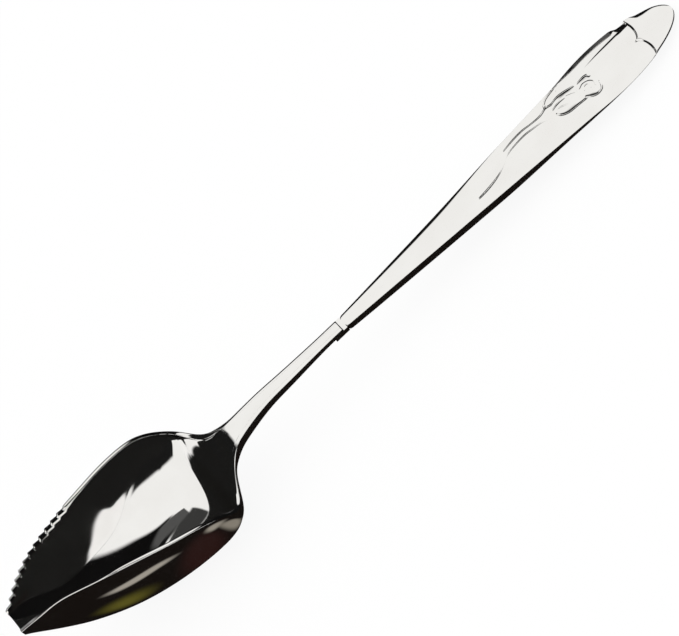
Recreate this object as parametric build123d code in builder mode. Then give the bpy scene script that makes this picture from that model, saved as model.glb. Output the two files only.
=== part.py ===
from build123d import *
import os
from math import asin, atan2, cos, hypot, pi, sin, tan

# Grapefruit spoon: a deep scoop with one serrated rim, on a hollow two-shell handle.
# The spoon lies as it rests on a table: +X runs from the bowl to the handle's end, +Z is up,
# and the table is Z = 0, touched by the keel of the bowl and by the back of the handle.

# Driving sizes in millimetres: the bowl
bowl_length = 48.3
bowl_width = 32.3
bowl_depth = 21.97
tip_width = 7.6
tip_bulge = 0.4
rim_thickness = 1.0
floor_thickness = 1.2

# The teeth on the +Y rim, which grow shallower away from the tip
tooth_count = 12
tooth_pitch = 1.85
tooth_depth = 0.8
tooth_fade_share = 0.65
tooth_lean = 0.78
first_tooth = 0.4

# The neck behind the bowl and the shank that runs in line with the handle
neck_width = 4.6
neck_thickness = 2.4
neck_dip = 0.75
shank_length = 32.3
shank_width = 3.3
shank_thickness = 1.6
top_hollow = 0.06

# The tang, a narrow tongue that goes on from the shank inside the handle
tang_length = 32.0
tang_width = 1.3
tang_thickness = 0.6
tang_drop = 0.65

# The collar at the mouth of the handle, with a lip that reaches forward under the shank
collar_gap = 0.9
collar_reach = 2.3
collar_rise = 0.45
collar_drop = 0.3

# The hollow handle
handle_length = 82.9
handle_width = 15.1
handle_depth = 3.0
mouth_width = 3.6
mouth_depth = 1.9
mouth_height = 9.63
mouth_radius = 0.7
end_ogive = 16.5
end_depth = 1.4
back_swell = 0.02
edge_margin = 0.15
shell_wall = 0.4
front_skirt = 0.6

# The raised cap on the end of the handle, with two lobes of the panel running into it
cap_length = 9.0
cap_lobe = 1.4
cap_rise = 0.3

# Slack between pieces that are cemented or brazed together
seat_gap = 0.04

# Depth of the small flats, worn by the table, that the keel and the back of the handle rest on
rest_flat = 0.06

# Places along the spoon, measured from the middle of its length.
# The handle leans until its back touches the table where the end starts to narrow
widest_at = handle_length - end_ogive
lowest_back = handle_depth + back_swell - rest_flat
lean = asin(mouth_height / hypot(widest_at, lowest_back)) - atan2(lowest_back, widest_at)
overall_length = bowl_length + shank_length + handle_length * cos(lean)
tip_x = -overall_length / 2
root_x = tip_x + bowl_length
mouth_x = root_x + shank_length
handle_axis = Vector(cos(lean), 0, -sin(lean))
handle_up = Vector(sin(lean), 0, cos(lean))
handle_plane = Plane((mouth_x, 0, mouth_height), x_dir=handle_axis, z_dir=handle_up)

# The last stretch of the shank, under and before the collar's lip, has one section
straight_length = collar_gap + 2 * collar_reach
straight_x = mouth_x - straight_length * cos(lean)

# Offsets of the bowl, as a boatbuilder draws them, from the blunt tip to the root of the neck:
# share of the length, of the width, rim and keel as shares of the depth, floor gauge, fullness
bowl_offsets = [
    (0.000, tip_width / bowl_width, 0.919, 0.799, 1.30, 2.2),
    (0.090, 0.375, 0.971, 0.607, 1.35, 2.44),
    (0.200, 0.498, 1.000, 0.376, 1.25, 2.38),
    (0.348, 0.672, 0.951, 0.182, 1.10, 2.28),
    (0.497, 0.811, 0.874, 0.064, 1.00, 2.19),
    (0.645, 0.941, 0.790, 0.012, 1.00, 2.1),
    (0.772, 1.000, 0.700, 0.000, 1.00, 2.02),
    (0.831, 0.985, 0.621, 0.031, 1.05, 2.0),
    (0.862, 0.966, 0.558, 0.088, 1.12, 2.0),
    (0.889, 0.947, 0.489, 0.188, 1.25, 2.0),
    (0.914, 0.879, 0.453, 0.264, 1.42, 2.0),
    (0.939, 0.724, 0.454, 0.305, 1.67, 1.8),
    (0.965, 0.545, 0.468, 0.330, 1.83, 1.5),
    (1.000, 0.378, 0.492, 0.352, 2.00, 1.4),
]

# The same for the neck: share of the shank's length, of the neck's width, of its thickness and dip
neck_offsets = [
    (0.06, 1.96, 1.20, 1.6),
    (0.14, 1.42, 1.20, 1.0),
    (0.36, 1.00, 1.00, 0.0),
    (0.58, 0.83, 0.85, 0.0),
]
neck_fullness = 2.4

# The handle widens almost evenly, then eases into its widest place; its back fills out early
# and draws in again round the end
taper_share = 0.87
taper_gain = 0.88
back_power = 0.7
end_power = 1.2

# Sections drawn between two rows of offsets, points taken round each section, and sections
# drawn along the back of the handle and round its end
stations_between = 3
section_points = 13
back_stations = 9
end_stations = 5


def line_height(place):
    """Height of the handle's front face, carried forward in a straight line."""
    return mouth_height + (mouth_x - place) * tan(lean)


def offset_rows():
    """Offsets in millimetres: place, half width, top, floor of the hollow, underside, fullness."""
    rows = []
    for along, width_share, rim_share, keel_share, gauge, fullness in bowl_offsets:
        place = tip_x + along * bowl_length
        rim = rim_share * bowl_depth - rest_flat
        keel = keel_share * bowl_depth - rest_flat
        floor = keel + gauge * floor_thickness
        rows.append((place, width_share * bowl_width / 2, rim, floor, keel, fullness))
    for along, width_share, gauge, dip in neck_offsets:
        place = root_x + along * shank_length
        top = line_height(place) - dip * neck_dip
        under = top - gauge * neck_thickness
        rows.append((place, width_share * neck_width / 2, top, top - top_hollow, under, neck_fullness))
    top = line_height(straight_x)
    under = top - shank_thickness
    rows.append((straight_x, shank_width / 2, top, top - top_hollow, under, neck_fullness))
    return rows


offsets = offset_rows()


def slopes_at(index):
    """Slopes of every column at one row, from the rows on either side of it."""
    low = max(index - 1, 0)
    high = min(index + 1, len(offsets) - 1)
    return [(b - a) / (offsets[high][0] - offsets[low][0]) for a, b in zip(offsets[low], offsets[high])]


def faired(place):
    """Every column at a place, on cubic curves that pass through the rows with those slopes."""
    index = 0
    while index < len(offsets) - 2 and place > offsets[index + 1][0]:
        index += 1
    start, end = offsets[index], offsets[index + 1]
    span = end[0] - start[0]
    t = (place - start[0]) / span
    ease = t * t * (3 - 2 * t)
    values = []
    for a, b, slope_a, slope_b in zip(start, end, slopes_at(index), slopes_at(index + 1)):
        values.append(a + (b - a) * ease + span * t * (1 - t) * (slope_a * (1 - t) - slope_b * t))
    return values


def trough(half_width, top, bottom, fullness):
    """Superellipse from one edge, down round the bottom and up to the other edge."""
    points = []
    for step in range(section_points):
        turn = pi * step / (section_points - 1)
        across_share = abs(cos(turn)) ** (2 / fullness)
        down_share = abs(sin(turn)) ** (2 / fullness)
        side = 1 if turn < pi / 2 else -1
        points.append((side * half_width * across_share, top + (bottom - top) * down_share))
    return points


def dished_section(plane, half_width, edge, top, floor, bottom, fullness):
    """A dished strip: two edge flats, a hollow between them and a rounded underside."""
    with BuildSketch(plane) as section:
        with BuildLine():
            under = Spline(*trough(half_width, top, bottom, fullness))
            inside = Spline(*trough(half_width - edge, top, floor, fullness))
            Line(under @ 0, inside @ 0)
            Line(under @ 1, inside @ 1)
        make_face()
    return section.sketch


def station(place):
    """Section of the bowl or neck at a place, its edge flats as wide as the rim is thick."""
    _, half_width, top, floor, bottom, fullness = faired(place)
    step = rim_thickness / 10
    taper = (faired(place + step)[1] - half_width) / step
    edge = min(rim_thickness * hypot(1, taper), half_width / 2)
    return dished_section(Plane.YZ.offset(place), half_width, edge, top, floor, bottom, fullness)


def across(distance):
    """Plane square to the handle, at a distance from its mouth towards the end."""
    return Plane(handle_plane.from_local_coords((distance, 0, 0)), x_dir=(0, 1, 0), z_dir=handle_axis)


def shank_bar(distance, slack=0):
    """Section of the straight end of the shank, grown by a slack all round."""
    half_width = shank_width / 2 + slack
    edge = min(rim_thickness, half_width / 2)
    floor = slack - top_hollow
    bottom = -shank_thickness - slack
    return dished_section(across(distance), half_width, edge, slack, floor, bottom, neck_fullness)


def tang_section(distance, slack=0):
    """Section of the tang, grown by a slack all round."""
    with BuildSketch(across(distance)) as section:
        with Locations((0, slack - tang_drop)):
            Rectangle(tang_width + 2 * slack, tang_thickness + 2 * slack, align=(Align.CENTER, Align.MAX))
    return section.sketch


def rim_point(place):
    """Point on the outer edge of the +Y rim."""
    _, half_width, top, *_ = faired(place)
    return Vector(place, half_width, top)


os.makedirs("parts", exist_ok=True)

# Bowl, neck, shank and tang, stamped from one blank
bowl_sections = []
for row, next_row in zip(offsets, offsets[1:]):
    for step in range(stations_between):
        bowl_sections.append(station(row[0] + (next_row[0] - row[0]) * step / stations_between))
bowl_sections.append(shank_bar(-straight_length))

with BuildPart() as serrated_bowl:
    loft(bowl_sections, ruled=True)
    extrude(shank_bar(-straight_length), amount=straight_length - collar_gap)
    extrude(tang_section(-collar_gap), amount=collar_gap + tang_length)
    split(bisect_by=Plane.XY, keep=Keep.TOP)
    # The blunt tip bows out a little between its two corners
    with BuildSketch(Plane.XY):
        with BuildLine():
            corner = Vector(tip_x + tip_bulge, tip_width, 0)
            tip_arc = ThreePointArc(corner, (tip_x, 0), (corner.X, -corner.Y))
            Polyline(tip_arc @ 1, (tip_x - tip_bulge, -corner.Y), (tip_x - tip_bulge, corner.Y), tip_arc @ 0)
        make_face()
    extrude(amount=2 * bowl_depth, mode=Mode.SUBTRACT)
    # Saw teeth cut through the rim, each with a long flank and a steep one
    tooth_x = tip_x + first_tooth
    for tooth in range(tooth_count):
        start = rim_point(tooth_x)
        along_rim = (rim_point(tooth_x + tooth_pitch / 2) - start).normalized()
        depth = tooth_depth * (1 - tooth_fade_share * tooth / tooth_count)
        with BuildSketch(Plane(start, x_dir=along_rim, z_dir=along_rim.cross(Vector(0, 0, 1)))):
            with BuildLine():
                gullet = (tooth_lean * tooth_pitch, -depth)
                clear = 2 * tooth_depth
                Polyline((0, 0), gullet, (tooth_pitch, 0), (tooth_pitch, clear), (0, clear), close=True)
            make_face()
        extrude(amount=2 * rim_thickness, both=True, mode=Mode.SUBTRACT)
        tooth_x += tooth_pitch * along_rim.X
serrated_bowl.part.label = "serrated_bowl"
export_step(serrated_bowl.part, "parts/serrated_bowl.step")

# Collar: a ring round the tang in the gap before the handle, with a lip under the shank
with BuildPart() as collar:
    with BuildSketch(across(-collar_gap - collar_reach)):
        with BuildLine():
            lowest = -shank_thickness - collar_rise
            under = Spline(*trough(shank_width / 2 + collar_rise / 3, -collar_drop, lowest, neck_fullness))
            Line(under @ 0, under @ 1)
        make_face()
    extrude(amount=collar_gap + collar_reach)
    lip_end = shank_bar(-collar_gap - 2 * collar_reach, seat_gap)
    extrude(lip_end, amount=2 * collar_reach, mode=Mode.SUBTRACT)
    extrude(tang_section(-collar_gap, seat_gap), amount=collar_gap, mode=Mode.SUBTRACT)
collar.part.label = "collar"
export_step(collar.part, "parts/collar.step")


def handle_outline(start, inset):
    """Front outline of the handle, drawn in by an inset and starting at a distance from the mouth."""
    half_mouth = mouth_width / 2 - inset
    half_widest = handle_width / 2 - inset
    half_taper = half_mouth + taper_gain * (half_widest - half_mouth)
    with BuildSketch(handle_plane) as outline:
        with BuildLine():
            evenly = (1, (half_taper - half_mouth) / (taper_share * widest_at))
            taper_end = (taper_share * widest_at, half_taper)
            Spline((start, half_mouth), taper_end, (widest_at, half_widest), tangents=(evenly, (1, 0)))
            EllipticalCenterArc((widest_at, 0), end_ogive - inset, half_widest, start_angle=0, arc_size=90)
            Line((start, 0), (start, half_mouth))
            mirror(about=Plane.XZ)
        make_face()
        corners = outline.vertices().group_by(Axis.X)[0].sort_by(Axis.Y)
        fillet((corners[0], corners[-1]), min(mouth_radius, half_mouth / 2))
    return outline.sketch


def back_depth(distance):
    """Depth of the handle's back below its front face, at a distance from the mouth."""
    if distance < widest_at:
        share = max(distance, 0) / widest_at
        return mouth_depth + (handle_depth - mouth_depth) * sin(share**back_power * pi / 2)
    share = (distance - widest_at) / (handle_length + edge_margin - widest_at)
    return handle_depth - (handle_depth - end_depth) * share**end_power


def handle_form(start, inset):
    """Whole handle, drawn in by an inset: flat in front, elliptical behind, cut to its outline."""
    half_mouth = mouth_width / 2 + edge_margin - inset
    half_widest = handle_width / 2 + edge_margin - inset
    end = handle_length + edge_margin
    places = [start + (widest_at - start) * step / back_stations for step in range(back_stations)]
    places += [widest_at + (end - widest_at) * step / end_stations for step in range(end_stations + 1)]
    sections = []
    for distance in places:
        half_width = half_mouth + min(distance / widest_at, 1) * (half_widest - half_mouth)
        belly = back_depth(distance) - 2 * inset
        with BuildSketch(across(distance)) as back:
            with BuildLine():
                under = EllipticalCenterArc((0, -inset), half_width, belly, start_angle=180, arc_size=180)
                Line(under @ 0, under @ 1)
            make_face()
        sections.append(back.sketch)
    with BuildPart() as form:
        loft(sections, ruled=True)
        extrude(handle_outline(start, inset), amount=-2 * handle_depth, mode=Mode.INTERSECT)
    return form.part


handle_body = handle_form(0, 0)
handle_hollow = handle_form(-collar_gap, shell_wall)
parting_plane = handle_plane.offset(-front_skirt)

# Raised cap: the end of the front outline, kept behind the two lobes
with BuildPart() as cap:
    extrude(handle_outline(0, 0), amount=cap_rise)
    with BuildSketch(handle_plane):
        with BuildLine():
            cap_at = handle_length - cap_length
            near_lobe = SagittaArc((cap_at, -handle_width / 2), (cap_at, 0), -cap_lobe)
            far_lobe = SagittaArc((cap_at, 0), (cap_at, handle_width / 2), -cap_lobe)
            beyond = 2 * handle_length
            Polyline(far_lobe @ 1, (beyond, handle_width / 2), (beyond, -handle_width / 2), near_lobe @ 0)
        make_face()
    extrude(amount=cap_rise, mode=Mode.INTERSECT)

# Front half shell: flat plate and short skirt, with the raised cap at its end
with BuildPart() as handle_front:
    add(handle_body)
    add(handle_hollow, mode=Mode.SUBTRACT)
    split(bisect_by=parting_plane, keep=Keep.TOP)
    add(cap.part)
handle_front.part.label = "handle_front"
export_step(handle_front.part, "parts/handle_front.step")

# Back half shell: rounded, brazed to the front one all along the skirt
with BuildPart() as handle_back:
    add(handle_body)
    add(handle_hollow, mode=Mode.SUBTRACT)
    split(bisect_by=parting_plane, keep=Keep.BOTTOM)
    split(bisect_by=Plane.XY, keep=Keep.TOP)
handle_back.part.label = "handle_back"
export_step(handle_back.part, "parts/handle_back.step")

# Filler: the cement core, with the slot that the tang fills
with BuildPart() as handle_filler:
    add(handle_form(seat_gap, shell_wall + seat_gap))
    extrude(tang_section(0, seat_gap), amount=tang_length + seat_gap, mode=Mode.SUBTRACT)
handle_filler.part.label = "handle_filler"
export_step(handle_filler.part, "parts/handle_filler.step")
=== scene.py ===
"""Grapefruit spoon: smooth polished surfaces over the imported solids, with a studio stage."""

from math import asin, atan2, cos, hypot, pi, radians, sin, tan

import bmesh
import bpy
import numpy as np
from bpy.props import FloatProperty, FloatVectorProperty, IntProperty, PointerProperty
from bpy.types import Operator, Panel, PropertyGroup
from mathutils import Matrix, Vector


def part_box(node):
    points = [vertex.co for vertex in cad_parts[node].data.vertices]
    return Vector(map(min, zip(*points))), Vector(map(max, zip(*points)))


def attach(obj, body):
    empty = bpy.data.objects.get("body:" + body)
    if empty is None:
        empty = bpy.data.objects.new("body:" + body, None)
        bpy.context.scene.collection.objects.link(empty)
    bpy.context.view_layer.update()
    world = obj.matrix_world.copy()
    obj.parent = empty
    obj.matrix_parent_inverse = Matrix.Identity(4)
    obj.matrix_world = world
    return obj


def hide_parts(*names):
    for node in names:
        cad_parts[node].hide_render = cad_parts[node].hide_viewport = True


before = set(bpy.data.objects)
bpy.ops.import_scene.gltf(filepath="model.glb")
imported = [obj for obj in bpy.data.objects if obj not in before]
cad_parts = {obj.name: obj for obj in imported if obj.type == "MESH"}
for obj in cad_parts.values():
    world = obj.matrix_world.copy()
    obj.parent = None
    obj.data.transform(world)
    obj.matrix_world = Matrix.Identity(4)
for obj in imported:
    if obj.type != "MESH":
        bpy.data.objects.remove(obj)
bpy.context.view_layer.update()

bl_info = {
    "name": "Grapefruit spoon",
    "version": (1, 0, 0),
    "blender": (4, 5, 0),
    "location": "View3D > Sidebar > Spoon",
    "description": "Builds a polished grapefruit spoon round its packed solids",
    "category": "Object",
}

MM = 0.001

# Width of the photograph in pixels, and what one pixel spans on the spoon
PHOTO_WIDTH = 679
PIXEL_SPAN = 0.1823 * MM

# The camera looks across the line from the bowl's tip, at a height over the floor, to the handle's end,
# a little under its front face. It is tilted from overhead and rolled, in degrees, and aims at a place
# along that line and beside it in the picture. Its lens is in millimetres
TIP_HEIGHT = 19.912 * MM
END_DROP = 0.474 * MM
CAMERA_TILT = 50
CAMERA_ROLL = 42.94
AIM_ALONG = 81.3 * MM
AIM_BESIDE = 0.15 * MM
SENSOR_WIDTH = 36.0
FOCAL_LENGTH = 300.0

# Faces that turn by more than this, in degrees, meet in a crease. Points this close become one
BOWL_CREASE = 32
HANDLE_CREASE = 40
WELD_REACH = 1e-7

# Offsets of the bowl from the blunt tip to the root of the neck: share of the length, of the
# width, rim and keel as shares of the depth, floor gauge, fullness of the section
BOWL_OFFSETS = (
    (0.000, 0.2353, 0.919, 0.799, 1.30, 2.20),
    (0.090, 0.375, 0.971, 0.607, 1.35, 2.44),
    (0.200, 0.498, 1.000, 0.376, 1.25, 2.38),
    (0.348, 0.672, 0.951, 0.182, 1.10, 2.28),
    (0.497, 0.811, 0.874, 0.064, 1.00, 2.19),
    (0.645, 0.941, 0.790, 0.012, 1.00, 2.10),
    (0.772, 1.000, 0.700, 0.000, 1.00, 2.02),
    (0.831, 0.985, 0.621, 0.031, 1.05, 2.00),
    (0.862, 0.966, 0.558, 0.088, 1.12, 2.00),
    (0.889, 0.947, 0.489, 0.188, 1.25, 2.00),
    (0.914, 0.879, 0.453, 0.264, 1.42, 2.00),
    (0.939, 0.724, 0.454, 0.305, 1.67, 1.80),
    (0.965, 0.545, 0.468, 0.330, 1.83, 1.50),
    (1.000, 0.378, 0.492, 0.352, 2.00, 1.40),
)

# The same for the neck: share of the shank's length, of the neck's width, of its thickness, dip
NECK_OFFSETS = (
    (0.06, 1.96, 1.20, 1.6),
    (0.14, 1.42, 1.20, 1.0),
    (0.36, 1.00, 1.00, 0.0),
    (0.58, 0.83, 0.85, 0.0),
)
NECK_FULLNESS = 2.4

# Outline of the handle: where its even taper ends, as a share of the way to its widest place, and the
# share of the width gained by then
TAPER_SHARE = 0.87
TAPER_GAIN = 0.88

# Back of the handle: powers by which it fills out from the mouth and draws in round the end, and the
# power of its section by the mouth, where it is full, and by the end, where it is a lens
FILLING_POWER = 0.7
CLOSING_POWER = 1.2
MOUTH_POWER = 0.65
LENS_POWER = 2.0

# Stretches over which a shape changes, start and end in mm. Along the bowl from its tip:
RIM_FLATTENS = (16, 28)
RIM_ROUNDS = (17, 23)
# Along the neck from its root:
NECK_STARTS_TO_ROLL = (-1, 3)
NECK_ROLL_NARROWS = (-1, 8)
NECK_DROP_FADES = (0, 14)
# Along the handle from its mouth:
FAR_ROLL_ENDS = (24, 44)
FAR_ROLL_RETURNS = (76, 77.5)
FAR_ROLL_FADES = (78, 81)
BACK_THINS = (36, 68)
LIP_RISES = (55.5, 63)
LIP_ENDS = (71.6, 73)
EDGE_THINS = (57, 68)
EDGE_VANISHES = (74, 76)
CORNER_DIPS = (72.2, 73.4)

# Strokes of the rosebud, its stem and the end panel, cut into the front of the handle. Each row is a
# distance from the mouth, a place across, the share of the full depth and half the width, lengths in mm
STROKES = (
    # stem, lower line, and the faint bow that ends it
    ((33.6, -1.55, 0.7, 0.30), (35.5, -1.4, 1.0, 0.30), (37.6, -1.0, 0.9, 0.25), (39.4, -0.4, 0.5, 0.20),
     (41.0, 0.6, 0.35, 0.20), (42.7, 1.8, 0.35, 0.20), (44.7, 2.35, 0.5, 0.20), (47.5, 2.6, 0.65, 0.25),
     (49.3, 2.3, 0.5, 0.25), (51.7, 1.7, 0.35, 0.20), (53.3, 0.3, 0.28, 0.20), (55.3, -3.1, 0.22, 0.20),
     (56.5, -5.0, 0.15, 0.20)),
    # stem, upper line, up to the knot
    ((42.7, 3.4, 0.4, 0.20), (45.4, 3.9, 0.7, 0.25), (47.7, 4.0, 0.7, 0.25), (50.0, 3.6, 0.6, 0.20),
     (52.0, 3.5, 0.8, 0.25), (53.3, 4.0, 1.0, 0.25), (53.9, 4.4, 1.0, 0.25)),
    # from the bud round the knot to the far edge of the panel, and the tick on it
    ((54.8, 3.7, 0.8, 0.22), (53.9, 4.1, 1.0, 0.28), (53.7, 4.7, 1.0, 0.25), (54.3, 5.4, 0.9, 0.20),
     (55.0, 5.9, 0.8, 0.20), (56.6, 6.4, 0.8, 0.25), (58.2, 6.7, 0.5, 0.25), (59.4, 6.9, 0.1, 0.20)),
    ((57.6, 6.3, 0.5, 0.15), (57.3, 5.6, 0.5, 0.15)),
    # bud, upper border and upper petal of the head
    ((54.9, 3.7, 0.6, 0.20), (56.6, 4.1, 0.8, 0.25), (58.3, 3.8, 0.9, 0.25), (60.2, 3.1, 0.6, 0.20)),
    ((61.0, 2.9, 0.5, 0.20), (62.3, 3.1, 0.8, 0.25), (63.2, 2.9, 1.0, 0.25), (63.6, 2.1, 0.7, 0.25)),
    # bud, lower border and lower petal of the head
    ((54.4, 0.6, 0.8, 0.20), (54.8, -0.3, 1.2, 0.20), (55.5, -1.0, 1.2, 0.22), (56.6, -1.5, 1.0, 0.25),
     (58.5, -1.7, 0.9, 0.25), (60.2, -1.9, 1.0, 0.25)),
    ((60.4, -1.5, 0.6, 0.20), (61.1, -2.4, 0.9, 0.25), (61.8, -3.0, 1.0, 0.28), (62.6, -3.2, 1.0, 0.28),
     (63.5, -2.8, 1.0, 0.28), (64.0, -1.8, 1.1, 0.25), (64.1, -0.8, 0.7, 0.20)),
    # folds inside the bud and the swirl of its head
    ((54.4, 2.2, 0.5, 0.20), (55.8, 2.6, 0.7, 0.25), (57.4, 2.4, 0.5, 0.25)),
    ((55.2, 1.5, 0.4, 0.20), (56.2, 1.0, 0.5, 0.20), (57.2, 0.3, 0.4, 0.20)),
    ((58.0, 2.6, 0.3, 0.20), (59.5, 1.6, 0.35, 0.20), (60.3, 0.4, 0.3, 0.20)),
    ((60.6, 1.4, 0.4, 0.20), (61.6, 1.9, 0.45, 0.20), (63.0, 1.3, 0.6, 0.20), (63.5, 0.2, 0.7, 0.20),
     (63.2, -1.0, 0.6, 0.20)),
    ((61.0, 0.0, 0.5, 0.18), (61.4, 0.8, 0.5, 0.18), (62.2, 0.9, 0.5, 0.18), (62.6, 0.2, 0.6, 0.18),
     (62.2, -0.7, 0.5, 0.18)),
)

# Hollow that deepens along the panel towards the cap, steep on its near side only
PANEL_HOLLOW = (
    (63.0, 4.7, 0.15, 0.30), (66.0, 5.1, 0.5, 0.40), (68.0, 5.35, 0.9, 0.55), (70.0, 5.5, 1.2, 0.65),
    (72.0, 5.6, 1.3, 0.70), (73.2, 5.6, 1.2, 0.70),
)

# How many times wider the far side of that hollow is
HOLLOW_REACH = 4.0

# Swellings under the bud and its head: middle along and across, and reach along and across, in mm
SWELLINGS = ((57.6, 1.2, 2.6, 2.2), (62.0, 0.0, 1.6, 2.4))

# What the metal mirrors: a white tent with dark cards in it, and a level for light mirrored twice. A card
# is the turn from +X towards +Y and the rise of its middle, its half sizes, its lean and the softness of
# its edge, in degrees, and its level of light
TENT_LEVEL = 1.0
TWICE_LEVEL = 0.012
DARK_CARDS = (
    (-3.5, 34.5, 48.5, 45.5, 0, 2.5, 0.004),
    (27, 91, 73, 17, 0, 3, 0.09),
    (49, 36, 13, 43, 0, 2.5, 0.006),
    (82, 11.5, 22.5, 20, 0, 2.5, 0.006),
    (92, 64, 22, 15, 0, 2.5, 0.045),
    (-93.5, 11.8, 23.8, 12, -30.7, 1.5, 0.01),
    (-85.7, 12.4, 10.5, 12, -54, 1.5, 0.01),
    (-85, -4, 16, 9.5, 0, 1.5, 0.01),
    (-97.6, 23.5, 14.25, 8, -16, 2.5, 0.01),
    (125, 21, 20, 16, 0, 2.5, 0.01),
)

# Windows that light mirrored twice still sees, each where all the cards of a group overlap, and the
# colour of their light
WINDOW_LEVEL = (1.18, 1.19, 1.23, 1.0)
WINDOWS = (
    ((74.2, 11.1, 50, 30, -5, 1.5), (45, 25.5, 60, 19.5, -49.3, 1.5)),
    ((-160, 24.5, 23.5, 8.6, 6, 1.5),),
)

# Things on the dark table that the outside of the bowl mirrors: middle along X and Y, half sizes, all
# in mm, turn in degrees, share of the size that fades out, and sRGB colour
TABLE_PATCHES = (
    (-51.0, -16.0, 9.0, 16.0, 0, 0.7, "#2b1917"),
    (-70.0, -8.5, 10.0, 6.0, -8, 0.9, "#5b5622"),
    (-69.0, -19.6, 12.6, 2.3, -13, 0.6, "#a7a198"),
    (-44.5, -27.0, 6.5, 4.6, 0, 0.7, "#9b958b"),
    (-41.4, -17.0, 2.6, 12.0, -8, 0.7, "#8b857b"),
)


def length(name, words, default):
    """A length property in metres."""
    return FloatProperty(name=name, description=words, default=default, min=0.0, precision=5, unit="LENGTH")


def ratio(name, words, default):
    """A property without a unit."""
    return FloatProperty(name=name, description=words, default=default)


def tint(name, words, default):
    """An sRGB colour property."""
    return FloatVectorProperty(
        name=name, description=words, default=default, size=3, min=0.0, max=1.0, subtype="COLOR_GAMMA"
    )


def srgb(code):
    """The three channels of an sRGB hex value, from 0 to 1."""
    return tuple(int(code[place : place + 2], 16) / 255 for place in (1, 3, 5))


def linear(colour):
    """sRGB channels to the linear RGBA that shader sockets take."""
    channels = np.asarray(colour[:3])
    curve = np.where(channels <= 0.04045, channels / 12.92, ((channels + 0.055) / 1.055) ** 2.4)
    return (*curve.tolist(), 1.0)


def grey(level):
    """A grey of that level of light, as linear RGBA."""
    return (level, level, level, 1.0)


def ease(value, start, end):
    """0 before the start, 1 past the end, and a smooth step between."""
    t = np.clip((value - start) / (end - start), 0, 1)
    return t * t * (3 - 2 * t)


def over(value, stretch):
    """The smooth step of a length in metres over a stretch in mm."""
    start, end = stretch
    return ease(value, start * MM, end * MM)


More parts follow.
